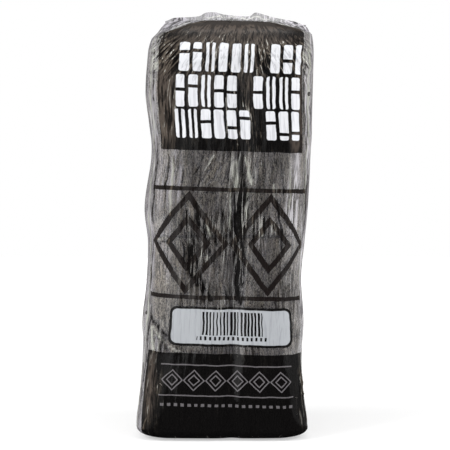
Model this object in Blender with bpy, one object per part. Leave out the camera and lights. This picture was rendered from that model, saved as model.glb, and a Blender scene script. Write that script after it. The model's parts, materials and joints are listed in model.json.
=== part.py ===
# Sleeve pack of rolled steel wool hand pads: sixteen pads in a clear printed film sleeve.
# Run it with: blender --background --python part.py
# Metres, +Z up. The origin is the middle of the base, the front print faces -Y.

import math

import bmesh
import bpy
from mathutils import Matrix, Vector

MM = 0.001

# One pad: a ribbon of steel wool rolled flat, the roll's axis left to right.
# The width is the mean one: the columns part right of the middle in front and left of it behind.
PAD_WIDTH = 56.6 * MM
PAD_DEPTH = 36.3 * MM
PAD_HEIGHT = 71.2 * MM
PAD_SIDE_ROUND = 6.0 * MM
PAD_END_ROUND = 4.5 * MM
LAP_STEP = 0.9 * MM
LAP_LEVEL = 0.62
COLUMN_STAGGER = 6.0 * MM
COLUMN_NAMES = ("left", "right")
LAYER_NAMES = ("front", "back")
ROWS = 4

# The sleeve of film, and the room that each pad has in it
FILM = 0.3 * MM
PAD_TO_FILM = 0.5 * MM
PAD_TO_PAD = 0.4 * MM
CORNER_ROUND = 26.0 * MM
FOOT_CORNER_ROUND = 17.0 * MM
FOOT_TOP = 95.0 * MM
FACE_CROWN = 1.6 * MM
VALLEY_DEPTH = 2.2 * MM
VALLEY_WIDTH = 6.0 * MM
BASE_ROUND_HEIGHT = 7.0 * MM
BASE_ROUND_INSET = 12.0 * MM
SHOULDER_HEIGHT = 20.0 * MM
SHOULDER_SIDE_INSET = 2.0 * MM
SHOULDER_FACE_INSET = 17.0 * MM
SHOULDER_LIFT = 0.9 * MM
FOLD_HEIGHT = 0.9 * MM
FOLD_WIDTH = 11.5 * MM
FOLD_DRIFT = 60.0 * MM
VENT_RADIUS = 1.25 * MM
VENT_TURN = math.radians(22)
VENT_LEFT_HEIGHT = 89.0 * MM
VENT_RIGHT_HEIGHT = 244.0 * MM

# The heat-sealed fin across the top
FIN_INSET_LEFT = 12.0 * MM
FIN_INSET_RIGHT = 5.0 * MM
FIN_WAVE = 1.5 * MM
FIN_WAVES = 1.6
FIN_LEAN = 0.25
# (share of the fin's width from the left, ridge above the shoulders, fin's edge above the ridge)
FIN_OUTLINE = (
    (0.00, 5.6 * MM, 1.6 * MM),
    (0.06, 7.0 * MM, 2.4 * MM),
    (0.24, 7.9 * MM, 2.8 * MM),
    (0.29, 8.0 * MM, 5.2 * MM),
    (0.36, 8.1 * MM, 5.2 * MM),
    (0.42, 8.2 * MM, 3.4 * MM),
    (0.60, 8.0 * MM, 2.6 * MM),
    (0.64, 7.9 * MM, 5.4 * MM),
    (0.70, 7.6 * MM, 4.4 * MM),
    (0.77, 7.2 * MM, 2.8 * MM),
    (0.92, 5.4 * MM, 1.4 * MM),
    (1.00, 3.4 * MM, 0.9 * MM),
)

# How far the tight film stands out past its plain width, as a share of the stack's height:
# (share, left side, right side). The foot spreads and the head leans to the right.
OUTLINE = (
    (0.00, 4.4 * MM, 2.2 * MM),
    (0.035, 5.3 * MM, 1.4 * MM),
    (0.10, 2.9 * MM, -1.2 * MM),
    (0.22, 0.2 * MM, -2.4 * MM),
    (0.29, 0.7 * MM, -0.8 * MM),
    (0.39, -2.1 * MM, -3.2 * MM),
    (0.48, -3.3 * MM, -1.0 * MM),
    (0.57, -0.9 * MM, 1.6 * MM),
    (0.71, -6.3 * MM, 3.6 * MM),
    (0.84, -2.3 * MM, 4.7 * MM),
    (0.94, -3.6 * MM, 5.3 * MM),
    (0.98, -5.6 * MM, 5.3 * MM),
    (1.00, -8.8 * MM, 5.3 * MM),
)

# Print on the front panel, with its sides measured in from the film's edges
BAND_SIDE_INSET = 7.5 * MM
TOP_BAND_HEIGHT = 80.0 * MM
TOP_BAND_TO_TOP = 4.5 * MM
BASE_BAND_HEIGHT = 60.5 * MM
LABEL_ABOVE_BAND = 5.0 * MM
LABEL_HEIGHT = 26.0 * MM
LABEL_LEFT_INSET = 18.5 * MM
LABEL_RIGHT_INSET = 9.5 * MM

# Facets
FACE_STEPS = 14
CORNER_STEPS = 6
SIDE_STEPS = 2
PAD_POINTS = 18
BODY_LEVELS = (0.2, 0.34, 0.48, 0.72, 0.83)
WALL_STEP = 14.0 * MM
ROUND_STEPS = 4
VENT_POINTS = 12

# Worked out from the sizes above
HALF_WIDTH = PAD_WIDTH + PAD_TO_PAD / 2 + PAD_TO_FILM + FILM
HALF_DEPTH = PAD_DEPTH + PAD_TO_PAD / 2 + PAD_TO_FILM + FILM
STACK_BASE = FILM + PAD_TO_FILM
STACK_TOP = STACK_BASE + ROWS * PAD_HEIGHT + (ROWS - 1) * PAD_TO_PAD
FILM_TOP = STACK_TOP + PAD_TO_FILM + FILM
SHOULDER_FROM = FILM_TOP - SHOULDER_HEIGHT
TOP_BAND_TOP = FILM_TOP - TOP_BAND_TO_TOP
TOP_BAND_BASE = TOP_BAND_TOP - TOP_BAND_HEIGHT
LABEL_BASE = BASE_BAND_HEIGHT + LABEL_ABOVE_BAND
LABEL_TOP = LABEL_BASE + LABEL_HEIGHT
RING_POINTS = 2 * FACE_STEPS + 4 * CORNER_STEPS + 2 * SIDE_STEPS


def smooth_through(points, at):
    # A Catmull-Rom curve through (position, value) points, level past both ends
    if at <= points[0][0]:
        return points[0][1]
    if at >= points[-1][0]:
        return points[-1][1]
    k = max(i for i in range(len(points) - 1) if points[i][0] <= at)
    x0, y0 = points[k]
    x1, y1 = points[k + 1]

    def slope(i):
        if i == 0 or i == len(points) - 1:
            return 0.0
        (a, u), (b, v) = points[i - 1], points[i + 1]
        return (v - u) / (b - a)

    w = x1 - x0
    t = (at - x0) / w
    return (
        y0 * (2 * t**3 - 3 * t**2 + 1)
        + y1 * (3 * t**2 - 2 * t**3)
        + w * slope(k) * (t**3 - 2 * t**2 + t)
        + w * slope(k + 1) * (t**3 - t**2)
    )


def film_sides(z):
    # Left and right edge of the film at a height, before its ends round over
    share = z / STACK_TOP
    left = smooth_through([(s, a) for s, a, _ in OUTLINE], share)
    right = smooth_through([(s, b) for s, _, b in OUTLINE], share)
    return -HALF_WIDTH - left, HALF_WIDTH + right


def end_inset(z, drop, shoulder_inset):
    # How far the section has drawn in at a height, for a wall that lies drop inside the film's outer face
    if z < BASE_ROUND_HEIGHT:
        share = (BASE_ROUND_HEIGHT - z) / (BASE_ROUND_HEIGHT - drop)
        reach = BASE_ROUND_INSET - drop
    elif z > SHOULDER_FROM:
        share = (z - SHOULDER_FROM) / (SHOULDER_HEIGHT - drop)
        reach = shoulder_inset - drop
    else:
        return drop
    return drop + reach * (1 - math.sqrt(max(0.0, 1 - share**2)))


def corner_round(z):
    # The corners are tighter at the foot, where the film is folded square
    t = min(1.0, max(0.0, (FOOT_TOP - z) / (FOOT_TOP - BASE_ROUND_HEIGHT)))
    return CORNER_ROUND + (FOOT_CORNER_ROUND - CORNER_ROUND) * t**2 * (3 - 2 * t)


def fold_out(x, z, face):
    # The film's slack stands out in upright folds that drift with the height and gather at the top
    drift = math.sin(z / FOLD_DRIFT + face) + 0.4 * math.sin(2.7 * z / FOLD_DRIFT + 2 * face)
    wave = 0.5 + 0.5 * math.sin(2 * math.pi * x / FOLD_WIDTH + 2.2 * drift)
    patch = 0.5 + 0.5 * math.sin(z / (0.4 * FOLD_DRIFT) + x / FOLD_WIDTH + face)
    gather = max(0.0, (z / STACK_TOP - 0.85) / 0.15)
    foot = min(1.0, z / (3 * BASE_ROUND_HEIGHT))
    return FOLD_HEIGHT * wave**2 * foot * max(patch, min(1.0, gather))


def film_ring(z, drop, folded):
    # The film's section at a height: a rounded rectangle with crowned faces and a valley where the columns part.
    # The points run anticlockwise from the middle of the right side.
    side_shrink = end_inset(z, drop, SHOULDER_SIDE_INSET)
    left, right = film_sides(z)
    middle = (left + right) / 2
    left, right = left + side_shrink, right - side_shrink
    depth = HALF_DEPTH - end_inset(z, drop, SHOULDER_FACE_INSET)
    r = min(corner_round(z), (depth + drop) * 0.95) - drop
    points = []

    def run(start, end, steps):
        for k in range(steps):
            points.append(start.lerp(end, k / steps))

    def corner(cx, cy, first):
        for k in range(CORNER_STEPS):
            a = first + math.pi / 2 * k / CORNER_STEPS
            points.append(Vector((cx + r * math.cos(a), cy + r * math.sin(a))))

    half_side = SIDE_STEPS // 2
    run(Vector((right, 0)), Vector((right, depth - r)), half_side)
    corner(right - r, depth - r, 0)
    run(Vector((right - r, depth)), Vector((left + r, depth)), FACE_STEPS)
    corner(left + r, depth - r, math.pi / 2)
    run(Vector((left, depth - r)), Vector((left, -depth + r)), SIDE_STEPS)
    corner(left + r, -depth + r, math.pi)
    run(Vector((left + r, -depth)), Vector((right - r, -depth)), FACE_STEPS)
    corner(right - r, -depth + r, 3 * math.pi / 2)
    run(Vector((right, -depth + r)), Vector((right, 0)), half_side)

    for p in points:
        across = (p.x - middle) / ((right - left) / 2)
        valley = middle - math.copysign(COLUMN_STAGGER, p.y)
        dip = VALLEY_DEPTH * math.exp(-(((p.x - valley) / VALLEY_WIDTH) ** 2))
        fall = FACE_CROWN * min(1.0, across**2) + dip
        p.y *= 1 - fall / depth
        if folded and abs(p.y) > depth / 2:
            face = math.copysign(1.0, p.y)
            p.y += face * fold_out(p.x, z, face)
    return points


def fin_x(share):
    left, right = film_sides(SHOULDER_FROM)
    return (left + FIN_INSET_LEFT) * (1 - share) + (right - FIN_INSET_RIGHT) * share


def ridge_height(share):
    return FILM_TOP + smooth_through([(s, ridge) for s, ridge, _ in FIN_OUTLINE], share)


def fin_rise(share):
    return smooth_through([(s, edge) for s, _, edge in FIN_OUTLINE], share)


def fin_row(height_of, lean):
    # A row of the fin: the front and the back layer lie on each other, a film apart from its middle
    points = []
    half = RING_POINTS // 2
    for i in range(RING_POINTS):
        share = 1 - i / half if i <= half else (i - half) / half
        rise = height_of(share)
        layer = 0 if i in (0, half) else (1 if i < half else -1)
        y = FIN_WAVE * math.sin(2 * math.pi * FIN_WAVES * share) * min(1.0, 4 * share) + lean * rise
        points.append(Vector((fin_x(share), y + layer * FILM, ridge_height(share) + rise)))
    return points


def wall_levels():
    # Even levels between the base's rounding and the shoulder, with the print's edges among them
    edges = [BASE_BAND_HEIGHT, LABEL_BASE, LABEL_TOP, TOP_BAND_BASE]
    span = SHOULDER_FROM - BASE_ROUND_HEIGHT
    count = max(2, round(span / WALL_STEP))
    even = [BASE_ROUND_HEIGHT + span * k / count for k in range(1, count)]
    free = [z for z in even if min(abs(z - e) for e in edges) > WALL_STEP / 3]
    return sorted(free + edges)


def film_levels(drop):
    # Heights of a wall's rings from its base to the top of its shoulder, which share out both quarter turns evenly
    turns = [math.sin(math.pi / 2 * k / ROUND_STEPS) for k in range(1, ROUND_STEPS + 1)]
    base = [BASE_ROUND_HEIGHT - (BASE_ROUND_HEIGHT - drop) * t for t in reversed(turns)]
    top = [SHOULDER_FROM + (SHOULDER_HEIGHT - drop) * t for t in turns]
    return base + [BASE_ROUND_HEIGHT] + wall_levels() + [SHOULDER_FROM] + top


def ring_rows(drop):
    rows = []
    for z in film_levels(drop):
        rows.append([Vector((p.x, p.y, z)) for p in film_ring(z, drop, True)])
    return rows


def mesh_of_rows(name, rows, cap_top):
    # Skins a stack of rings with quads and closes the lowest with one face
    bm = bmesh.new()
    made = [[bm.verts.new(p) for p in row] for row in rows]
    count = len(rows[0])
    for low, high in zip(made, made[1:]):
        for i in range(count):
            j = (i + 1) % count
            bm.faces.new((low[i], low[j], high[j], high[i]))
    bm.faces.new(reversed(made[0]))
    cap_top(bm, made[-1])
    bmesh.ops.recalc_face_normals(bm, faces=bm.faces)
    mesh = bpy.data.meshes.new(name)
    bm.to_mesh(mesh)
    bm.free()
    return mesh


def cap_flat(bm, ring):
    bm.faces.new(ring)


def cap_fin(bm, ring):
    # The fin's free edge: the front layer meets the back layer
    count = len(ring)
    half = count // 2
    bm.faces.new((ring[0], ring[1], ring[count - 1]))
    for i in range(1, half - 1):
        bm.faces.new((ring[i], ring[i + 1], ring[count - i - 1], ring[count - i]))
    bm.faces.new((ring[half - 1], ring[half], ring[half + 1]))


def new_object(name, mesh, parent=None, materials=()):
    ob = bpy.data.objects.new(name, mesh)
    bpy.context.scene.collection.objects.link(ob)
    ob.parent = parent
    for m in materials:
        mesh.materials.append(m)
    return ob


def cut_with(ob, cutter):
    cutter.hide_render = True
    cutter.display_type = "WIRE"
    modifier = ob.modifiers.new(cutter.name, "BOOLEAN")
    modifier.operation = "DIFFERENCE"
    modifier.solver = "EXACT"
    modifier.object = cutter


def make_material(name, colour, roughness, metallic=0.0, alpha=1.0):
    m = bpy.data.materials.new(name)
    m.use_nodes = True
    shader = m.node_tree.nodes["Principled BSDF"]
    shader.inputs["Base Color"].default_value = (*colour, 1.0)
    shader.inputs["Roughness"].default_value = roughness
    shader.inputs["Metallic"].default_value = metallic
    shader.inputs["Alpha"].default_value = alpha
    return m


def print_on_front(mesh):
    # Fields of ink on the front panel: a black band at each end and a white label between them
    ink_black, ink_white = 1, 2
    for face in mesh.polygons:
        c = face.center
        if c.y > 0:
            continue
        left, right = film_sides(c.z)
        in_top_band = TOP_BAND_BASE < c.z < TOP_BAND_TOP
        in_base_band = c.z < BASE_BAND_HEIGHT
        beside_edges = left + BAND_SIDE_INSET < c.x < right - BAND_SIDE_INSET
        beside_label = left + LABEL_LEFT_INSET < c.x < right - LABEL_RIGHT_INSET
        if beside_edges and (in_top_band or in_base_band):
            face.material_index = ink_black
        elif beside_label and LABEL_BASE < c.z < LABEL_TOP:
            face.material_index = ink_white


def make_sleeve(pack):
    clear = make_material("clear_film", (0.62, 0.61, 0.62), 0.18, alpha=0.3)
    black = make_material("black_ink", (0.012, 0.012, 0.012), 0.2)
    white = make_material("white_ink", (0.62, 0.63, 0.65), 0.3)

    outer = ring_rows(0.0)
    shoulder = outer[-1]
    # The faces slope on up from the shoulder to the ridge, and the sides lie level there
    for p in shoulder:
        p.z += SHOULDER_LIFT * min(1.0, abs(p.y) / (HALF_DEPTH - SHOULDER_FACE_INSET))
    ridge = fin_row(lambda share: 0.0, 0.0)
    for t, up in ((0.25, 0.32), (0.5, 0.6), (0.75, 0.83)):
        row = [a.lerp(b, t) for a, b in zip(shoulder, ridge)]
        for p, a, b in zip(row, shoulder, ridge):
            p.z = a.z + (b.z - a.z) * up
        outer.append(row)
    outer.append(ridge)
    outer.append(fin_row(fin_rise, FIN_LEAN))
    mesh = mesh_of_rows("film_sleeve", outer, cap_fin)
    sleeve = new_object("film_sleeve", mesh, pack, (clear, black, white))
    print_on_front(mesh)
    mesh.shade_smooth()
    mesh.set_sharp_from_angle(angle=math.radians(35))

    hollow = new_object("film_hollow", mesh_of_rows("film_hollow", ring_rows(FILM), cap_flat), pack)
    cut_with(sleeve, hollow)
    cut_with(sleeve, make_vent(-1, VENT_LEFT_HEIGHT, pack))
    cut_with(sleeve, make_vent(1, VENT_RIGHT_HEIGHT, pack))
    return sleeve


def make_vent(side, z, parent):
    # A cutter for a small air hole, square to the film where a front corner begins to turn
    left, right = film_sides(z)
    edge = right if side > 0 else left
    r = corner_round(z)
    x = edge - side * r * (1 - math.cos(VENT_TURN))
    y = -(HALF_DEPTH - r) - r * math.sin(VENT_TURN)
    bm = bmesh.new()
    bmesh.ops.create_cone(bm, cap_ends=True, segments=VENT_POINTS, radius1=VENT_RADIUS,
                          radius2=VENT_RADIUS, depth=6 * VENT_RADIUS)
    turn = Matrix.Rotation(-side * VENT_TURN, 4, "Z") @ Matrix.Rotation(math.pi / 2, 4, "Y")
    bmesh.ops.transform(bm, matrix=Matrix.Translation((x, y, z)) @ turn, verts=bm.verts)
    name = "vent_right" if side > 0 else "vent_left"
    mesh = bpy.data.meshes.new(name)
    bm.to_mesh(mesh)
    bm.free()
    return new_object(name, mesh, parent)


def reach_to_ring(centre, direction, ring):
    # Distance from a point inside a ring to its edge
    best = None
    for a, b in zip(ring, ring[1:] + ring[:1]):
        edge = b - a
        cross = direction.x * edge.y - direction.y * edge.x
        if abs(cross) < 1e-12:
            continue
        d = a - centre
        along = (d.x * edge.y - d.y * edge.x) / cross
        t = (d.x * direction.y - d.y * direction.x) / cross
        if along > 0 and -1e-9 <= t <= 1 + 1e-9 and (best is None or along < best):
            best = along
    return best


def rounded_reach(angle, half_x, half_y, r):
    # Distance from the centre of a rounded rectangle to its edge, by halving
    c, s = abs(math.cos(angle)), abs(math.sin(angle))
    low, high = 0.0, half_x + half_y
    for _ in range(40):
        mid = (low + high) / 2
        dx = max(mid * c - (half_x - r), 0.0)
        dy = max(mid * s - (half_y - r), 0.0)
        if math.hypot(dx, dy) <= r:
            low = mid
        else:
            high = mid
    return low


def pad_ring(z, base, column, layer):
    # One level of a pad: it fills its quarter of the sleeve, as far as the film lets it
    left, right = film_sides(z)
    middle = (left + right) / 2
    edge = (right if column > 0 else left) - column * (FILM + PAD_TO_FILM)
    near = middle - layer * COLUMN_STAGGER + column * PAD_TO_PAD / 2
    half_x = abs(edge - near) / 2
    half_y = PAD_DEPTH / 2
    centre = Vector(((edge + near) / 2, layer * (PAD_TO_PAD / 2 + half_y)))
    room = film_ring(z, FILM + PAD_TO_FILM, False)

    level = z - base
    to_end = min(level, PAD_HEIGHT - level)
    turn_in = max(0.0, 1 - to_end / PAD_END_ROUND)
    end_round = PAD_END_ROUND * (1 - math.sqrt(max(0.0, 1 - turn_in**2)))
    points = []
    for k in range(PAD_POINTS):
        a = 2 * math.pi * (k + 0.5) / PAD_POINTS
        # Evenly spread over the pad's outline rather than over the angle
        a = math.atan2(half_y * math.sin(a), half_x * math.cos(a))
        direction = Vector((math.cos(a), math.sin(a)))
        lap = LAP_STEP if level > LAP_LEVEL * PAD_HEIGHT and layer * direction.y > 0.5 else 0.0
        reach = rounded_reach(a, half_x - end_round, half_y - end_round - lap / 2,
                              PAD_SIDE_ROUND)
        reach = min(reach, reach_to_ring(centre, direction, room))
        p = centre + direction * reach
        points.append(Vector((p.x, p.y, z)))
    return points


def make_pad(row, column, layer, wool, pack):
    base = STACK_BASE + row * (PAD_HEIGHT + PAD_TO_PAD)
    top = base + PAD_HEIGHT
    lap = base + LAP_LEVEL * PAD_HEIGHT
    bend = PAD_END_ROUND * (1 - math.cos(math.pi / 4))
    levels = [base, base + bend, base + PAD_END_ROUND, top - PAD_END_ROUND, top - bend, top]
    levels += [lap, lap + LAP_STEP]
    levels += [base + s * PAD_HEIGHT for s in BODY_LEVELS]
    rows = [pad_ring(z, base, column, layer) for z in sorted(levels)]
    name = "pad_row{}_{}_{}".format(
        row + 1, COLUMN_NAMES[column > 0], LAYER_NAMES[layer > 0]
    )
    mesh = mesh_of_rows(name, rows, cap_flat)
    mesh.shade_smooth()
    mesh.set_sharp_from_angle(angle=math.radians(50))
    return new_object(name, mesh, pack, (wool,))


def main():
    for ob in list(bpy.data.objects):
        bpy.data.objects.remove(ob)
    pack = new_object("pack", None)
    make_sleeve(pack)
    wool = make_material("steel_wool", (0.2, 0.19, 0.185), 0.55, metallic=0.6)
    for row in range(ROWS):
        for column in (-1, 1):
            for layer in (-1, 1):
                make_pad(row, column, layer, wool, pack)


main()
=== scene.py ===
import json
import math

import bpy
import numpy as np
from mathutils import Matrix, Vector

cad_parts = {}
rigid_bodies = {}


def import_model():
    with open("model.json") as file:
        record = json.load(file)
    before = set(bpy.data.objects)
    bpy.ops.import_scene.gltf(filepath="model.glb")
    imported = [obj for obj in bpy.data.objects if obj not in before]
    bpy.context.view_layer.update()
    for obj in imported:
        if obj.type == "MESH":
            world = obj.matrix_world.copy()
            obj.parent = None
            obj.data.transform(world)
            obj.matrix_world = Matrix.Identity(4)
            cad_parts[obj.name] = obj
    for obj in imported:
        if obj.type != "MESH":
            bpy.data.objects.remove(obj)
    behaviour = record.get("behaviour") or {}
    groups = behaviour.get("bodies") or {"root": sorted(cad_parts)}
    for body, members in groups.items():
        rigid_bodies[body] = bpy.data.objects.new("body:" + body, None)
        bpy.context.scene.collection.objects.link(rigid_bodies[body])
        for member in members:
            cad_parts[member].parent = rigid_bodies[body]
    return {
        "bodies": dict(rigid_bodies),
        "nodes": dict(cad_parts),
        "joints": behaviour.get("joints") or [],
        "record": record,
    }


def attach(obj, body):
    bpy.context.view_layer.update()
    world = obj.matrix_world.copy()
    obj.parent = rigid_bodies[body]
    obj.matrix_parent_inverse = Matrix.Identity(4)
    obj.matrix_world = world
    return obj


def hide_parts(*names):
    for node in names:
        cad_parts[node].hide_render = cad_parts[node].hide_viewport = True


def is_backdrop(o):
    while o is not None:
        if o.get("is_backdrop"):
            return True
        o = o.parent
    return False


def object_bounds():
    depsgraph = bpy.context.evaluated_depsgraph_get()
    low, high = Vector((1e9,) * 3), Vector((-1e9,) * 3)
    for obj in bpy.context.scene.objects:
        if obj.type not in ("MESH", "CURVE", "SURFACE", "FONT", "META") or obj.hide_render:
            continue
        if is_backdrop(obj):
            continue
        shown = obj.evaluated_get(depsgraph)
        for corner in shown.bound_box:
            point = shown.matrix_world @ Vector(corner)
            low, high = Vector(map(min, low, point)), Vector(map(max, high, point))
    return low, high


# Looks for a sealed sleeve pack of steel wool hand pads.
# The film is a flat printed web, wrapped round the stack and creased. Its UV map is the flat web,
# in metres.

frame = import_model()
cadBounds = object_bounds()
mm = 0.001

# Mesh and number helpers

def deselectAll():
    if bpy.context.object and bpy.context.object.mode != "OBJECT":
        bpy.ops.object.mode_set(mode="OBJECT")
    bpy.ops.object.select_all(action="DESELECT")


def makeActive(piece):
    deselectAll()
    piece.select_set(True)
    bpy.context.view_layer.objects.active = piece


def editAll(piece, mergeBelow=None, faceOut=True):
    makeActive(piece)
    bpy.ops.object.mode_set(mode="EDIT")
    bpy.ops.mesh.select_all(action="SELECT")
    if mergeBelow:
        bpy.ops.mesh.remove_doubles(threshold=mergeBelow)
    if faceOut:
        bpy.ops.mesh.normals_make_consistent(inside=False)
    bpy.ops.object.mode_set(mode="OBJECT")


def readPoints(mesh):
    points = np.empty(len(mesh.vertices) * 3)
    mesh.vertices.foreach_get("co", points)
    return points.reshape(-1, 3)


def writePoints(mesh, points):
    mesh.vertices.foreach_set("co", np.ascontiguousarray(points, dtype=np.float64).ravel())
    mesh.update()


def readNormals(mesh):
    normals = np.empty(len(mesh.vertices) * 3)
    mesh.vertex_normals.foreach_get("vector", normals)
    return normals.reshape(-1, 3)


def softStep(low, high, value):
    t = np.clip((value - low) / (high - low), 0, 1)
    return t * t * (3 - 2 * t)


def bump(value, centre, half):
    # 1 at the centre, falling softly to 0 at the half width
    t = np.clip(1 - np.abs(value - centre) / half, 0, 1)
    return t * t * (3 - 2 * t)


def softNoise(x, y, seed):
    # Smooth seeded noise from -1 to 1, with features one unit wide
    count = 128
    table = np.random.default_rng(seed).uniform(-1, 1, (count, count))
    xi = np.floor(x).astype(int)
    yi = np.floor(y).astype(int)
    fx = x - xi
    fy = y - yi
    fx = fx * fx * (3 - 2 * fx)
    fy = fy * fy * (3 - 2 * fy)
    a = table[xi % count, yi % count]
    b = table[(xi + 1) % count, yi % count]
    c = table[xi % count, (yi + 1) % count]
    d = table[(xi + 1) % count, (yi + 1) % count]
    return (a * (1 - fx) + b * fx) * (1 - fy) + (c * (1 - fx) + d * fx) * fy


def creaseNoise(x, y, seed):
    # Sharp ridges between soft troughs, from -1 to 1
    return 1 - np.abs(softNoise(x, y, seed)) * 2


def throughPoints(table, at, column):
    # A smooth curve through a table's column, level past both ends
    xs = np.array([row[0] for row in table])
    ys = np.array([row[column] for row in table])
    slopes = np.zeros(len(xs))
    slopes[1:-1] = (ys[2:] - ys[:-2]) / (xs[2:] - xs[:-2])
    at = np.clip(at, xs[0], xs[-1])
    k = np.clip(np.searchsorted(xs, at, side="right") - 1, 0, len(xs) - 2)
    w = xs[k + 1] - xs[k]
    t = (at - xs[k]) / w
    value = ys[k] * (2 * t**3 - 3 * t**2 + 1) + ys[k + 1] * (3 * t**2 - 2 * t**3)
    return value + w * (slopes[k] * (t**3 - 2 * t**2 + t) + slopes[k + 1] * (t**3 - t**2))


# Node helpers. Those that work on sockets add their nodes to the tree of the first socket given.

def newMaterial(name):
    material = bpy.data.materials.new(name)
    material.use_nodes = True
    material.node_tree.nodes.clear()
    return material, material.node_tree


def feed(socket, value):
    # A socket takes either a link or a plain value
    if isinstance(value, bpy.types.NodeSocket):
        socket.id_data.links.new(value, socket)
    else:
        socket.default_value = value


def addNode(tree, kind, inputs=None, **settings):
    node = tree.nodes.new("ShaderNode" + kind)
    for key, value in settings.items():
        setattr(node, key, value)
    for key, value in (inputs or {}).items():
        feed(node.inputs[key], value)
    return node


def calc(operation, *values):
    tree = next(v.id_data for v in values if isinstance(v, bpy.types.NodeSocket))
    return addNode(tree, "Math", dict(enumerate(values)), operation=operation).outputs[0]


def chain(operation, values):
    total = values[0]
    for value in values[1:]:
        total = calc(operation, total, value)
    return total


def mul(*values):
    return chain("MULTIPLY", values)


def add(*values):
    return chain("ADD", values)


def sub(a, b):
    return calc("SUBTRACT", a, b)


def most(*values):
    return chain("MAXIMUM", values)


def absolute(a):
    return calc("ABSOLUTE", a)


def mulAdd(a, b, c):
    return calc("MULTIPLY_ADD", a, b, c)


def mixValue(factor, a, b):
    return add(a, mul(factor, sub(b, a)))


def ramp(value, low, high, outLow=0.0, outHigh=1.0, smooth=True):
    limits = {"Value": value, "From Min": low, "From Max": high, "To Min": outLow, "To Max": outHigh}
    kind = "SMOOTHSTEP" if smooth else "LINEAR"
    return addNode(value.id_data, "MapRange", limits, interpolation_type=kind).outputs[0]


def mixColour(factor, a, b, blend="MIX"):
    node = addNode(factor.id_data, "Mix", data_type="RGBA", blend_type=blend)
    for key, value in (("Factor", factor), (6, a), (7, b)):
        feed(node.inputs[key], value)
    return node.outputs[2]


def vectorCalc(operation, a, b):
    # b is the second vector, or the factor where a vector is scaled
    inputs = {0: a, (3 if operation == "SCALE" else 1): b}
    node = addNode(a.id_data, "VectorMath", inputs, operation=operation)
    return node.outputs["Value" if operation == "DISTANCE" else "Vector"]


def splitXy(vector):
    node = addNode(vector.id_data, "SeparateXYZ", {0: vector})
    return node.outputs[0], node.outputs[1]


def joinXy(x, y):
    return addNode(x.id_data, "CombineXYZ", {0: x, 1: y}).outputs[0]


def noise(vector, stretch, detail, roughness=0.5, distortion=0.0, colour=False):
    at = addNode(vector.id_data, "Mapping", {"Vector": vector, "Scale": stretch}).outputs[0]
    node = addNode(at.id_data, "TexNoise", {"Vector": at, "Scale": 1.0, "Detail": detail,
                                            "Roughness": roughness, "Distortion": distortion})
    return node.outputs[1 if colour else 0]


def chance(whole):
    # Random values from a whole number: a value and a colour
    return addNode(whole.id_data, "TexWhiteNoise", {"W": whole}, noise_dimensions="1D").outputs


def rgb(r, g, b):
    # A colour as seen on screen, 0 to 255, as the linear value that a shader takes
    def linear(c):
        c /= 255
        return c / 12.92 if c <= 0.04045 else ((c + 0.055) / 1.055) ** 2.4
    return (linear(r), linear(g), linear(b), 1.0)


# The pack's form: the same sizes as in the part's source

packForm = {
    "halfWidth": 57.6 * mm,
    "halfDepth": 37.3 * mm,
    "stackTop": 286.8 * mm,
    "filmTop": 287.6 * mm,
    "cornerRound": 26.0 * mm,
    "footCornerRound": 17.0 * mm,
    "footTop": 95.0 * mm,
    "faceCrown": 1.6 * mm,
    "valleyDepth": 2.2 * mm,
    "valleyWidth": 6.0 * mm,
    "columnStagger": 6.0 * mm,
    "baseRoundHeight": 7.0 * mm,
    "baseRoundInset": 12.0 * mm,
    "shoulderHeight": 20.0 * mm,
    "shoulderSideInset": 2.0 * mm,
    "shoulderFaceInset": 17.0 * mm,
    "shoulderTurn": math.radians(60),
    "gablePower": 1.25,
    "finInsetLeft": 12.0 * mm,
    "finInsetRight": 5.0 * mm,
    "finWave": 1.5 * mm,
    "finWaves": 1.6,
    "finLean": 0.25,
    # share of the stack's height, then how far the left and the right side stand out, in millimetres
    "outline": (
        (0.00, 4.4, 2.2),
        (0.035, 5.3, 1.4),
        (0.10, 2.9, -1.2),
        (0.22, 0.2, -2.4),
        (0.29, 0.7, -0.8),
        (0.39, -2.1, -3.2),
        (0.48, -3.3, -1.0),
        (0.57, -0.9, 1.6),
        (0.71, -6.3, 3.6),
        (0.84, -2.3, 4.7),
        (0.94, -3.6, 5.3),
        (0.98, -5.6, 5.3),
        (1.00, -8.8, 5.3),
    ),
    # share of the fin's width from the left, then the ridge's height above the shoulders and the
    # fin's edge above the ridge, in millimetres
    "finOutline": (
        (0.00, 5.6, 1.6),
        (0.06, 7.0, 2.4),
        (0.24, 7.9, 2.8),
        (0.29, 8.0, 5.2),
        (0.36, 8.1, 5.2),
        (0.42, 8.2, 3.4),
        (0.60, 8.0, 2.6),
        (0.64, 7.9, 5.4),
        (0.70, 7.6, 4.4),
        (0.77, 7.2, 2.8),
        (0.92, 5.4, 1.4),
        (1.00, 3.4, 0.9),
    ),
}


def packSides(z):
    share = z / packForm["stackTop"]
    left = -packForm["halfWidth"] - throughPoints(packForm["outline"], share, 1) * mm
    right = packForm["halfWidth"] + throughPoints(packForm["outline"], share, 2) * mm
    return left, right


# The film sleeve: a flat web of film, wrapped, drawn in at both ends and creased

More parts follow.
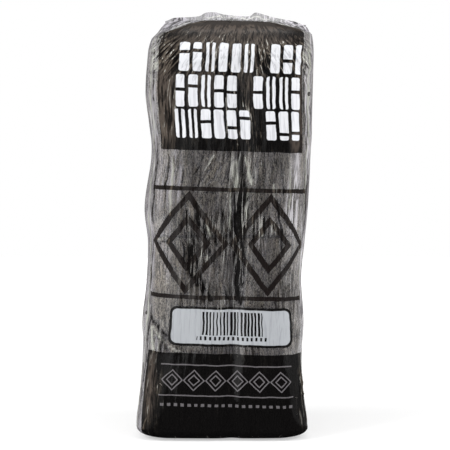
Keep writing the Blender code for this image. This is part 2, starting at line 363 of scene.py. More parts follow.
filmWeb = {
    "columns": 400,
    "frontColumns": 280,
    "rows": {"base": 5, "baseRound": 9, "wall": 178, "shoulder": 14, "gable": 18, "fin": 8},
    "baseSeam": 30 * mm,
    "shoulderRadius": 19 * mm,
    "gableLength": 30.5 * mm,
    "finLength": 5 * mm,
    "layerGap": 0.25 * mm,
    "footWebScale": 0.9,
    "footReach": (110 * mm, 20 * mm),
    "calmBase": (0.5 * mm, 9 * mm),
    "calmFin": (2 * mm, 6 * mm),
    "calmSeam": 4 * mm,
    "restless": 0.22 * mm,
    "mostInward": 0.45 * mm,
    # creases, in millimetres on the web: middle, half width, half height, pitch, lean, depth and seed
    "creases": (
        (8, 152, 17, 66, 3.6, 0.03, 0.75, 11),
        (-24, 133, 15, 50, 3.4, 0.06, 0.6, 12),
        (-8, 120, 26, 22, 3.2, 0.02, 0.45, 13),
        (14, 190, 20, 32, 4.6, -0.12, 0.7, 14),
        (0, 228, 60, 36, 4.2, 0.0, 0.35, 15),
        (-40, 225, 26, 55, 8.0, 0.06, 0.45, 16),
        (38, 170, 22, 60, 6.5, -0.02, 0.35, 17),
        (-46, 45, 12, 40, 4.4, 0.05, 0.5, 18),
        (5, 64, 40, 14, 3.6, 0.0, 0.25, 19),
        (56, 40, 9, 42, 4.0, -0.12, 0.9, 20),
        (-62, 70, 15, 80, 4.2, 0.04, 0.6, 21),
        (-62, 215, 15, 90, 4.6, -0.03, 0.6, 22),
        (62, 110, 14, 90, 4.4, 0.03, 0.5, 23),
        (62, 225, 14, 80, 4.8, -0.03, 0.5, 24),
    ),
    # creases that fan out from above the top's middle
    "fanCentre": (6 * mm, 322 * mm),
    "fanZ": 268 * mm,
    "fanReach": 24 * mm,
    "fanDepth": 0.7 * mm,
    "fanPitch": 0.075,
    "foldDepth": 0.5 * mm,
    # single folds on the web in millimetres: start, end, half width, and -1 for a fold in with painted
    # shade or 1 for a fold out with a painted highlight
    "folds": (
        (9.2, 184, 10.6, 138, 6.4, -1), (4.6, 176, 9.4, 150, 2.2, -1),
        (14.6, 172, 11, 148, 1.8, -1), (10.2, 152, 11.6, 96, 4, -1),
        (7.2, 128, 9.4, 98, 1.6, -1), (3, 198, 5.2, 177, 2.7, 1),
        (9.8, 199, 15.8, 178, 1.5, 1), (1.4, 178, 3.2, 150, 1.1, 1),
        (13.4, 178, 13.6, 157, 1.4, 1), (9.6, 170, 10.8, 146, 0.5, 1),
        (-21, 167, -16.5, 148, 3, -1), (-27.2, 162, -25.4, 136, 3, -1),
        (-25.2, 146, -22.7, 116, 4.2, -1), (-21.5, 130, -12.5, 100, 3.6, -1),
        (-17, 112, -8, 97, 2.8, -1), (-9.8, 160, -5.6, 136, 1.8, -1),
        (-16.4, 158, -13, 139, 1.3, -1), (-30.5, 141, -28, 126, 1.4, -1),
        (0.4, 111, 3, 98, 1.3, -1), (20, 158, 18.5, 139, 1.2, -1),
        (26.5, 158, 27.5, 138, 1.1, -1), (-2.8, 160, -1.2, 142, 0.8, -1),
        (-13.8, 156, -11.2, 142, 0.7, 1), (33.2, 176, 38.4, 149, 1.7, -1),
        (38.2, 155, 40.4, 130, 1.9, -1), (36, 196, 38.4, 172, 0.9, -1),
        (41, 196, 44.2, 160, 0.8, 1), (-44, 200, -43.4, 168, 0.8, -1),
        (-33.4, 199, -30.4, 166, 0.6, -1), (-40.2, 199, -38, 158, 1.3, 1),
        (31.6, 180, 34.6, 164, 0.7, 1), (18.6, 160, 19.6, 143, 0.9, 1),
        (24.5, 158, 25, 144, 0.7, 1), (-51.4, 141.5, -39.4, 143.8, 0.55, 1),
        (-39.4, 143.8, -42.2, 137.8, 0.45, 1), (-51, 139.4, -42, 139.6, 1.1, -1),
        (-51.8, 82.6, -45.6, 61, 1.3, 1), (-51.4, 82, -37.6, 69, 1.5, 1),
        (-38.6, 69.6, -27, 61.8, 1.2, 1), (-54, 87.5, -37.4, 74.6, 2.3, -1),
        (-44, 74, -41, 62, 0.8, -1), (-40, 70, -36, 61.5, 0.7, -1),
        (65, 30, 58.6, 9, 0.8, 1), (55.2, 48, 61.6, 29, 0.8, 1),
        (-50.6, 7, -46.8, 16, 0.7, 1), (-49.6, 30, -45.2, 12, 0.6, 1),
        (-3, 198, -15, 177, 0.55, -1), (-8, 201, -25, 172, 0.6, -1),
        (1, 197, -5, 178, 0.5, -1), (7.4, 202, 8.6, 184, 0.8, -1),
        (16.6, 200, 21, 180, 0.55, -1), (22, 201, 27, 184, 0.5, -1),
        (-19, 200, -26, 186, 0.55, -1), (-12, 200, -18, 189, 0.7, 1),
        (-40, 317.4, 48, 315.2, 1.1, -1), (-36, 315.4, 30, 313.9, 0.5, 1),
        (-34, 320.2, 44, 319, 0.8, 1), (-56, 287, -40, 316, 0.7, -1),
        (40, 315, 60, 286, 0.7, -1),
        # along the left side
        (-55.6, 298, -55.2, 205, 0.9, -1), (-59.4, 292, -58.4, 196, 1.2, 1),
        (-55, 204, -53.4, 150, 0.8, -1), (-58.4, 196, -57.6, 120, 1.1, 1),
        (-54.6, 146, -55, 96, 0.7, -1), (-56.6, 126, -56.4, 58, 1, 1),
        (-53.4, 96, -54.8, 22, 0.8, -1), (-56.8, 62, -57.4, 8, 0.9, 1),
        # along the right side
        (53.6, 292, 54.6, 206, 0.8, -1), (58.4, 290, 59.4, 208, 1.6, 1),
        (62.4, 276, 62, 214, 0.8, -1), (56.4, 214, 58.4, 150, 1.2, 1),
        (60.8, 206, 61, 140, 0.8, -1), (56.2, 146, 58.2, 96, 0.8, 1),
        (60, 120, 60.6, 66, 0.8, -1),
        # over the shoulders
        (-53, 284, -40, 312, 1.1, 1), (-47, 287, -33, 311, 0.8, 1),
        (-57, 268, -51, 291, 1.1, 1), (-38, 303, -24, 318, 1, 1),
        (-50, 285, -37, 312, 0.9, -1), (-54.5, 274, -49, 294, 0.8, -1),
        (-43, 300, -29, 318, 0.8, -1), (30, 314, 46, 302, 0.9, 1),
        (42, 306, 57, 284, 1, 1), (46, 305, 56, 290, 0.7, -1),
        (-12, 316, -4, 306, 0.7, -1),
    ),
    # patches of fine upright ribs: middle, half width, half height, how strong
    "ribbed": (
        (-9, 131, 15, 9, 1.0), (27, 151, 17, 12, 0.6), (-6, 150, 13, 13, 0.4),
        (-43, 70, 8, 12, 0.8), (8, 226, 17, 44, 0.75), (8, 190, 20, 22, 0.7),
        (-44, 226, 13, 44, 0.6), (-44, 30, 7, 34, 0.5), (4, 98, 26, 14, 0.45),
    ),
    # soft patches, placed like these: painted shade on the film, painted reflection of a pale room on the
    # film, and ink turned brown, partly worn and partly painted reflection
    "shade": (
        (9.5, 152, 8, 64, 0.72), (-8, 151, 26, 19, 0.72), (6, 138, 38, 42, 0.34),
        (-21, 130, 11, 44, 0.72), (-13, 105, 18, 14, 0.65), (-23, 186, 9, 24, 0.45),
        (34, 172, 6, 26, 0.3), (46, 96, 18, 54, 0.62), (20, 120, 14, 26, 0.25),
        (5, 202, 44, 8, 0.45), (8, 65, 40, 9, 0.45), (-47, 84, 6, 7, 0.3),
    ),
    "sheen": (
        (47, 174, 9, 46, 0.72), (55, 110, 6, 50, 0.3), (-38, 184, 8, 34, 0.62),
        (-48, 182, 7, 34, 0.45), (24, 146, 9, 20, 0.32), (-42, 140, 9, 30, 0.3),
        (-40, 128, 5, 26, 0.3), (-54, 165, 5, 60, 0.4), (-55, 72, 5, 46, 0.4),
        (-58, 236, 6, 60, 0.5), (58, 236, 6, 66, 0.7), (-43, 69, 8, 10, 0.6),
    ),
    "wornAndReflection": (
        (-46, 236, 11, 50, 0.85), (47, 211, 9, 14, 0.75), (0, 294, 62, 13, 1.0),
        (0, 277, 60, 14, 0.7), (-47, 38, 6, 32, 0.8), (-20, 250, 14, 26, 0.45),
        (14, 256, 10, 22, 0.35), (49, 236, 7, 44, 0.55),
    ),
}


def roundedRing(q, a, b, r):
    # Points of a rounded rectangle by the share q of its round, from -1 to 1 with 0 at the front's middle.
    # Gives x, y and the distance along the film from the front's middle.
    flat = a - r
    side = b - r
    arc = math.pi / 2 * r
    sideFrom = flat + arc
    backFrom = sideFrom + 2 * side
    s = np.abs(q) * (backFrom + arc + flat)
    frontTurn = np.clip((s - flat) / r, 0, math.pi / 2)
    backTurn = np.clip((s - backFrom) / r, 0, math.pi / 2)
    x = np.where(s > flat, flat + r * np.sin(frontTurn), s)
    y = np.where(s > flat, -side - r * np.cos(frontTurn), -b)
    x = np.where(s > sideFrom, a, x)
    y = np.where(s > sideFrom, -side + (s - sideFrom), y)
    x = np.where(s > backFrom, flat + r * np.cos(backTurn), x)
    y = np.where(s > backFrom, side + r * np.sin(backTurn), y)
    x = np.where(s > backFrom + arc, flat - (s - backFrom - arc), x)
    y = np.where(s > backFrom + arc, b, y)
    return np.sign(q) * x, y, np.sign(q) * s


def wallRing(q, z, sideInset=0.0, faceInset=0.0):
    form = packForm
    left, right = packSides(z)
    middle = (left + right) / 2
    a = (right - left) / 2 - sideInset
    b = form["halfDepth"] - faceInset
    foot = softStep(form["footTop"], form["baseRoundHeight"], z)
    r = form["cornerRound"] * (1 - foot) + form["footCornerRound"] * foot
    x, y, s = roundedRing(q, a, b, min(r, b * 0.95))
    valley = -np.sign(y) * form["columnStagger"]
    dip = form["valleyDepth"] * np.exp(-(((x - valley) / form["valleyWidth"]) ** 2))
    fall = form["faceCrown"] * np.clip(np.abs(x) / a, 0, 1) ** 2 + dip
    return x + middle, y * (1 - fall / b), s


def ridgeRing(q, rise):
    # The film's two layers lie on each other, from the left end of the fin to the right end
    form = packForm
    left, right = packSides(np.array(form["filmTop"] - form["shoulderHeight"]))
    near = np.where(np.abs(q) <= 0.5, q, np.sign(q) * (1 - np.abs(q)))
    share = 0.5 + near
    x = (left + form["finInsetLeft"]) * (1 - share) + (right - form["finInsetRight"]) * share
    ridge = form["filmTop"] + throughPoints(form["finOutline"], share, 1) * mm
    lift = throughPoints(form["finOutline"], share, 2) * mm * rise
    layer = np.where(np.abs(q) < 0.5, -1.0, 1.0) * softStep(0, 0.03, 0.5 - np.abs(near))
    y = form["finWave"] * np.sin(2 * math.pi * form["finWaves"] * share) * np.minimum(1, 4 * share)
    y = y + form["finLean"] * lift + layer * filmWeb["layerGap"] * (1 - rise * rise)
    y = y + rise * 0.9 * mm * softNoise(share * 14, np.full_like(share, 3.5), 31)
    return x, y, ridge + lift


def webRows(q):
    # The film's rows of points from the base's seam to the fin's edge: x, y, z and the place on the web
    form = packForm
    faceInset, sideInset = form["shoulderFaceInset"], form["shoulderSideInset"]
    shoulderFrom = form["filmTop"] - form["shoulderHeight"]
    shoulderLength = form["shoulderTurn"] * filmWeb["shoulderRadius"]
    gableFrom = shoulderFrom + shoulderLength
    finFrom = gableFrom + filmWeb["gableLength"]
    inset = form["baseRoundInset"]
    baseX, baseY, baseS = wallRing(q, 0.0, inset, inset)
    seamX = np.clip(baseX, -filmWeb["baseSeam"], filmWeb["baseSeam"])
    # the faces leave the shoulder before it lies level, and slope on up to the ridge
    turnIn = 1 - math.cos(form["shoulderTurn"])
    topZ = shoulderFrom + form["shoulderHeight"] * math.sin(form["shoulderTurn"])
    topX, topY, topS = wallRing(q, topZ, sideInset * turnIn, faceInset * turnIn)
    ridgeX, ridgeY, ridgeZ = ridgeRing(q, 0.0)
    for kind, count in filmWeb["rows"].items():
        for t in [k / count for k in range(count + (kind == "fin"))]:
            if kind == "base":
                x, y, z, s = seamX * (1 - t) + baseX * t, baseY * t, 0.0, baseS
                v = -inset - form["halfDepth"] * (1 - t)
            elif kind == "baseRound":
                turn = math.pi / 2 * (1 - t)
                drawn = inset * (1 - math.cos(turn))
                z = form["baseRoundHeight"] * (1 - math.sin(turn))
                x, y, s = wallRing(q, z, drawn, drawn)
                v = z - drawn
            elif kind == "wall":
                z = form["baseRoundHeight"] + (shoulderFrom - form["baseRoundHeight"]) * t
                x, y, s = wallRing(q, z)
                v = z
            elif kind == "shoulder":
                turn = form["shoulderTurn"] * t
                turned = 1 - math.cos(turn)
                z = shoulderFrom + form["shoulderHeight"] * math.sin(turn)
                x, y, s = wallRing(q, z, sideInset * turned, faceInset * turned)
                v = shoulderFrom + shoulderLength * t
            elif kind == "gable":
                x = topX * (1 - t) + ridgeX * t
                y = topY * (1 - t) + ridgeY * t
                z = topZ + (ridgeZ - topZ) * (1 - (1 - t) ** form["gablePower"])
                s, v = topS, gableFrom + filmWeb["gableLength"] * t
            else:
                x, y, z = ridgeRing(q, t)
                s, v = topS, finFrom + filmWeb["finLength"] * t
            foot = softStep(*filmWeb["footReach"], np.asarray(v))
            scale = 1 - (1 - filmWeb["footWebScale"]) * foot
            yield np.stack([x, y, z + 0 * x], axis=1), np.stack([s * scale, v + 0 * s], axis=1)


def nearLine(x, y, fold):
    # 1 on a straight fold that thins out at both ends, falling to 0 at its half width
    x0, y0, x1, y1, halfWidth = fold[:5]
    along = ((x - x0) * (x1 - x0) + (y - y0) * (y1 - y0)) / ((x1 - x0) ** 2 + (y1 - y0) ** 2)
    share = np.clip(along, 0, 1)
    away = np.hypot(x - x0 - share * (x1 - x0), y - y0 - share * (y1 - y0))
    width = halfWidth * (0.12 + np.sqrt(4 * share * (1 - share)))
    return 1 - softStep(0.45, 1.0, away / width)


def foldMasks(u, v):
    # Where the film folds in, with painted shade, and folds out, with a painted highlight, and where the
    # patches lie
    x = u / mm
    y = v / mm
    x = x + 1.1 * softNoise(x / 5, y / 9, 61) + 0.5 * softNoise(x / 2, y / 4, 62)
    y = y + 2.0 * softNoise(x / 4, y / 7, 63)
    masks = {-1: np.zeros_like(x), 1: np.zeros_like(x)}
    for fold in filmWeb["folds"]:
        masks[fold[5]] = np.maximum(masks[fold[5]], nearLine(x, y, fold))
    found = {"foldIn": masks[-1], "foldOut": masks[1]}
    for label in ("ribbed", "shade", "sheen", "wornAndReflection"):
        patch = np.zeros_like(x)
        for middleX, middleY, halfX, halfY, strength in filmWeb[label]:
            away = np.hypot((x - middleX) / halfX, (y - middleY) / halfY)
            patch = np.maximum(patch, (1 - softStep(0.35, 1.0, away)) * strength)
        found[label] = patch
    return found


def creaseDepth(u, z):
    # How far the film stands out of its plain face, how creased it is there and how much of that is the fan
    creased = 0.10 + 0.12 * softNoise(u / (25 * mm), z / (30 * mm), 7)
    out = filmWeb["restless"] * softNoise(u / (9 * mm), z / (34 * mm), 5)
    out += 0.6 * filmWeb["restless"] * softNoise(u / (3.4 * mm), z / (21 * mm), 6)
    for middleU, middleZ, halfU, halfZ, pitch, lean, depth, seed in filmWeb["creases"]:
        du = u - middleU * mm
        dz = z - middleZ * mm
        reach = bump(du, 0, halfU * mm) * bump(dz, 0, halfZ * mm)
        along = du + lean * dz + 1.4 * mm * softNoise(u / (14 * mm), z / (15 * mm), seed + 40)
        wave = creaseNoise(along / (pitch * mm), z / (28 * mm), seed)
        out += depth * mm * reach**0.7 * (wave - 0.25)
        creased = np.maximum(creased, reach**0.6 * depth / 0.8)
    fanU, fanZ = filmWeb["fanCentre"]
    turn = np.arctan2(u - fanU, fanZ - z)
    drift = 0.02 * softNoise(u / (12 * mm), z / (8 * mm), 8)
    fan = creaseNoise((turn + drift) / filmWeb["fanPitch"], z / (9 * mm), 9)
    fanned = bump(z, filmWeb["fanZ"], filmWeb["fanReach"]) ** 0.6
    fanned = fanned * (1 - softStep(56 * mm, 72 * mm, np.abs(u)))
    out += filmWeb["fanDepth"] * fanned * (fan - 0.3)
    return out, np.clip(creased, 0, 1), fanned


def buildFilm():
    columns = filmWeb["columns"]
    front = filmWeb["frontColumns"]
    back = (columns - front) // 2
    q = np.concatenate([
        np.linspace(-1, -0.5, back, endpoint=False),
        np.linspace(-0.5, 0.5, front, endpoint=False),
        np.linspace(0.5, 1, back + 1),
    ])
    shape, web = (np.array(part) for part in zip(*webRows(q)))
    deselectAll()
    bpy.ops.mesh.primitive_grid_add(x_subdivisions=columns, y_subdivisions=len(shape) - 1, size=1)
    film = bpy.context.object
    film.name = "printed_film"
    mesh = film.data
    flat = readPoints(mesh)
    column = np.rint((flat[:, 0] + 0.5) * columns).astype(int)
    row = np.rint((flat[:, 1] + 0.5) * (len(shape) - 1)).astype(int)
    points = shape[row, column]
    uv = web[row, column]

    # the flat web goes into the UV map before the seam is closed
    layer = mesh.uv_layers.active
    layer.name = "flatWeb"
    loopVertex = np.empty(len(mesh.loops), dtype=np.int32)
    mesh.loops.foreach_get("vertex_index", loopVertex)
    layer.data.foreach_set("uv", uv[loopVertex].astype(np.float32).ravel())

    writePoints(mesh, points)
    normals = readNormals(mesh)
    depth, creased, fanned = creaseDepth(uv[:, 0], uv[:, 1])
    masks = foldMasks(uv[:, 0], uv[:, 1])
    depth = depth + filmWeb["foldDepth"] * (masks["foldOut"] - masks["foldIn"])
    masks["ribbed"] = np.maximum(masks["ribbed"], np.maximum(fanned, 0.75 * creased - 0.12))
    masks["fanned"] = fanned
    for name, values in masks.items():
        attribute = mesh.attributes.new(name, "FLOAT", "POINT")
        attribute.data.foreach_set("value", values.astype(np.float32))
    # the film is calm on the base, at the fin and along the back's seam
    z = points[:, 2]
    calm = softStep(*filmWeb["calmBase"], z)
    calm = calm * (1 - softStep(*filmWeb["calmFin"], z - packForm["filmTop"]))
    seamCalm = softStep(0, filmWeb["calmSeam"], (1 - np.abs(q[column])) * 0.17)
    depth = np.maximum(depth * calm * (0.15 + 0.85 * seamCalm), -filmWeb["mostInward"])
    writePoints(mesh, points + normals * depth[:, None])
    editAll(film, mergeBelow=0.02 * mm)
    bpy.ops.object.shade_smooth()
    print("film", len(mesh.polygons), "faces")
    return film


# The print's simple shapes over the flat web, in millimetres: fields by their corners, rows of blocks by
# middle height, half height, start and half width, and the rest by their middle and half sizes

printPlan = {
    "slope": 0.029,
    "drift": (1.5, 1.2, 0.0),
    "inkBlack": rgb(14, 13, 13),
    "inkFrame": rgb(16, 15, 15),
    "inkDiamonds": rgb(27, 23, 22),
    "inkWhite": rgb(214, 215, 219),
    "inkLabel": rgb(167, 170, 174),
    "inkGrey": rgb(104, 101, 103),
    "topBand": (-51.3, 203.0, 51.6, 313.0),
    "baseBand": (-52.5, -60.0, 60.0, 62.0),
    "diamonds": (2.0, 139.0, 28.5, 36.0),
    "smallDiamonds": (3.0, 43.0, 7.0, 7.6),
    "label": (5.6, 81.0, 40.7, 12.1),
    "labelFrame": 1.8,
    "bars": (5.9, 83.2, 20.7, 8.2),
    "barPitch": 2.35,
    "blockRows": ((221.4, 9.9, 5.4, 44.6), (243.8, 11.0, 6.5, 44.9), (267.0, 9.8, 6.8, 43.0)),
    "blockGaps": (6.0, 5.0, 6.0),
    "blockPitch": 8.9,
}


def boxMask(place, box, corner=0.1, edge=0.25):
    # 1 inside a box with round corners, given by its middle and its half sizes
    square = None
    for along, middle, half in zip(place, box[:2], box[2:]):
        out = most(add(sub(absolute(sub(along, middle)), half), corner), 0.0)
        square = mul(out, out) if square is None else add(square, mul(out, out))
    mask = sub(0.5, calc("DIVIDE", sub(calc("SQRT", square), corner), edge))
    mask.node.use_clamp = True
    return mask


def fieldMask(place, corners):
    x0, y0, x1, y1 = corners
    return boxMask(place, ((x0 + x1) / 2, (y0 + y1) / 2, (x1 - x0) / 2, (y1 - y0) / 2), 0.6, 0.3)


def diamondRow(place, box, pairs, line):
    # A row of diamonds, each with a smaller one in it, by the row's middle and one diamond's half sizes
    x, y, halfX, halfY = box
    along = calc("PINGPONG", sub(place[0], x), halfX)
    up = absolute(sub(place[1], y))
    toSide = halfX * halfY / math.hypot(halfX, halfY)
    share = add(sub(1.0, calc("DIVIDE", along, halfX)), calc("DIVIDE", up, halfY))
    away = mul(share, toSide)
    strokes = []
    for edge in (toSide, toSide * 0.56):
        off = absolute(sub(away, edge - line / 2))
        strokes.append(ramp(off, line / 2 - 0.08, line / 2 + 0.08, 1.0, 0.0))
    return mul(most(*strokes), boxMask(place, (x, y, 2 * pairs * halfX, halfY + 1), 0.1, 0.15))


def blockRow(place, row, gapAt, seed):
    # A run of tall blocks with one left out, some with a level or an upright cut by chance
    middle, halfHigh, start, halfWide = row
    pitch = printPlan["blockPitch"]
    along = calc("DIVIDE", sub(place[0], start - halfWide), pitch)
    cell = calc("FLOOR", along)
    across = mul(sub(calc("FRACT", along), 0.5), pitch)
    high = sub(place[1], middle)
    parts = addNode(cell.id_data, "SeparateColor", {0: chance(add(cell, seed))["Color"]}).outputs
    halfBlock = mul(add(mul(parts[0], 0.06), 0.335), pitch)
    block = boxMask((across, high), (0.0, 0.0, halfBlock, halfHigh), 1.4, 0.3)
    cutAt = mul(sub(parts[2], 0.5), 12.0)
    level = most(ramp(absolute(sub(high, cutAt)), 1.0, 1.25), calc("GREATER_THAN", parts[1], 0.4))
    upright = most(ramp(absolute(across), 0.85, 1.1), calc("LESS_THAN", parts[1], 0.62))
    keep = sub(1.0, calc("COMPARE", cell, gapAt, 0.5))
    return mul(block, level, upright, keep, boxMask(place, (start, middle, halfWide, 30.0), 0.1, 0.2))


def printFields(web):
    # All that is printed on the web: the ink's colour, how opaque it is, and whether there is ink at all
    plan = printPlan
    # the print runs down a little to the right, and waves a little with the film
    x, y = splitXy(vectorCalc("SCALE", web, 1000.0))
    slanted = joinXy(x, mulAdd(x, plan["slope"], y))
    drift = vectorCalc("SUBTRACT", noise(slanted, (0.11, 0.11, 0.11), 2.0, colour=True), (0.5, 0.5, 0.5))
    here = splitXy(vectorCalc("ADD", slanted, vectorCalc("MULTIPLY", drift, plan["drift"])))
    x, y = here

    # the upper field's corners fall away over the shoulders
    edgeFall = calc("MINIMUM", mulAdd(x, 1.45, 360.0), mulAdd(x, -0.88, 342.0))
    topBand = mul(fieldMask(here, plan["topBand"]), ramp(sub(edgeFall, y), -0.15, 0.15))
    black = most(topBand, fieldMask(here, plan["baseBand"]))

    # large dark diamonds between two rules lie on the clear film
    middleX, middleY, halfX, halfY = plan["diamonds"]
    pattern = diamondRow(here, plan["diamonds"], 1, 3.8)
    for side in (-1, 1):
        rule = (middleX, middleY + side * (halfY + 1.6), 2 * halfX, 1.5)
        pattern = most(pattern, boxMask(here, rule, 0.3, 0.15))

    # the label: bars over a row of small ticks, where digits would be
    middleX, middleY, halfX, halfY = plan["label"]
    frame = plan["labelFrame"]
    labelFrame = boxMask(here, (middleX, middleY, halfX + frame, halfY + frame), 5.4, 0.3)
    label = boxMask(here, plan["label"], 4.2, 0.3)
    module = calc("DIVIDE", x, plan["barPitch"])
    barWide = mulAdd(chance(calc("FLOOR", module))["Value"], 0.42, 0.34)
    bars = mul(boxMask(here, plan["bars"], 0.1, 0.2), calc("LESS_THAN", calc("FRACT", module), barWide))
    middleX, middleY, halfX, halfY = plan["bars"]
    tick = calc("LESS_THAN", calc("FRACT", calc("DIVIDE", x, 3.1)), 0.45)
    ticks = mul(tick, boxMask(here, (middleX, middleY - halfY - 2.2, halfX + 3.0, 1.3), 0.2, 0.2))
    bars = most(bars, ticks)

    rows = zip(plan["blockRows"], plan["blockGaps"])
    blocks = most(*[blockRow(here, row, gap, 3.0 + 17.0 * k) for k, (row, gap) in enumerate(rows)])

    # fine grey line art on the lower field: a chain of diamonds between rules, over a row of dots
    middleX, middleY = plan["smallDiamonds"][:2]
    lines = diamondRow(here, plan["smallDiamonds"], 3, 0.75)
    for lift in (-10.8, 10.8):
        lines = most(lines, boxMask(here, (middleX, middleY + lift, 43.0, 0.42)))
    dot = calc("LESS_THAN", calc("FRACT", calc("DIVIDE", x, 4.3)), 0.5)
    lines = most(lines, mul(dot, boxMask(here, (middleX, middleY - 17.5, 43.0, 1.0))))

    colour = mixColour(black, plan["inkDiamonds"], plan["inkBlack"])
    for mask, ink in ((labelFrame, "inkFrame"), (label, "inkLabel"), (bars, "inkFrame"),
                      (blocks, "inkWhite"), (lines, "inkGrey")):
        colour = mixColour(mask, colour, plan[ink])
    opacity = most(mul(black, 0.975), mul(pattern, 0.95), mul(labelFrame, 0.985), mul(blocks, 0.99))
    return colour, opacity, ramp(opacity, 0.4, 0.6)


filmLook = {
    # reaches on the web, from where to where
    "middle": 2 * mm,
    "corner": (49 * mm, 60 * mm),
    "cornerEnd": (60 * mm, 78 * mm),
    "wander": 60 * mm,
    "top": (283 * mm, 298 * mm),
    "topFront": (62 * mm, 84 * mm),
    "across": (-45 * mm, 45 * mm),
    "dullInk": (30 * mm, 44 * mm),
    "ventHole": (0.4 * mm, 0.5 * mm),
    "ventEdge": (1.4 * mm, 1.6 * mm),
    "haze": 0.035,
    "rubbedHaze": 0.07,
    # the haze at the front's corners carries a painted reflection of the side lights
    "sideHazeAndSheen": 0.7,
    "topHaze": 0.74,
    # the veil's darker troughs, and its pale crests: haze with a painted reflection on it, paler on the
    # right than on the left
    "hazeLow": rgb(112, 109, 112),
    "topLow": rgb(74, 72, 74),
    "leftHazeAndSheen": rgb(172, 169, 175),
    "rightHazeAndSheen": rgb(214, 211, 216),
    # painted shade, the folds' painted shade, painted highlights and glints, the painted highlight on ink,
    # and the brown of worn ink with painted reflection
    "shade": rgb(26, 23, 23),
    "dark": rgb(7, 6, 6),
    "bright": rgb(170, 171, 162),
    "glint": rgb(214, 214, 208),
    "inkHighlight": rgb(92, 84, 75),
    "wornAndReflection": rgb(76, 68, 62),
    "ventRim": rgb(30, 28, 28),
    "paleLine": (0.62, 0.61, 0.64, 1.0),
    "coat": 0.42,
    "gloss": 0.04,
    "calm": 0.10,
    "creaseHeight": 1.1 * mm,
    "lineHeight": 0.5,
    "vents": ((-59.0 * mm, 89.0 * mm, 0.0), (59.6 * mm, 242.6 * mm, 0.0)),
}


def filmFolds(web, masks):
    # The film's folds: painted shade lines, painted highlight lines, painted glints on the sharpest
    # crests, the fine streaks they are made of, and their height
    look = filmLook
    ribbed, fanned = masks["ribbed"], masks["fanned"]
    streak = noise(web, (520, 42, 1), 3.0, 0.55, 1.1)
    fine = noise(web, (1150, 70, 1), 2.0, 0.55, 0.5)
    # streaks that fan out under the top fold
    x, y = splitXy(web)
    fanX, fanY = filmWeb["fanCentre"]
    below = sub(fanY, y)
    angle = mul(calc("ARCTAN2", sub(x, fanX), below), 30.0)
    fan = noise(joinXy(angle, mul(below, 105.0)), (1, 1, 1), 3.0, 0.52, 1.5)
    lines = mixValue(fanned, streak, fan)

    # the wide folds' painted shade keeps a few thin painted highlight lines inside it
    dark = mul(masks["foldIn"], sub(1.0, ramp(lines, 0.545, 0.585, 0.0, 0.92)))
    dark = most(dark, mul(ramp(lines, 0.41, 0.46, 1.0, 0.0), ribbed))
    crest = ramp(lines, mulAdd(fanned, -0.04, 0.55), mulAdd(fanned, -0.035, 0.60))
    bright = most(mul(masks["foldOut"], ramp(fine, 0.34, 0.5, 0.35, 1.0)), mul(crest, ribbed))
    bright = mul(bright, sub(1.0, dark))
    glint = mul(ramp(lines, 0.605, 0.64), ramp(fine, 0.49, 0.56), ribbed)
    height = add(mul(lines, mulAdd(ribbed, 0.9, look["calm"])), mul(fine, 0.07),
                 mul(sub(masks["foldOut"], masks["foldIn"]), look["lineHeight"]))
    return dark, bright, glint, lines, height


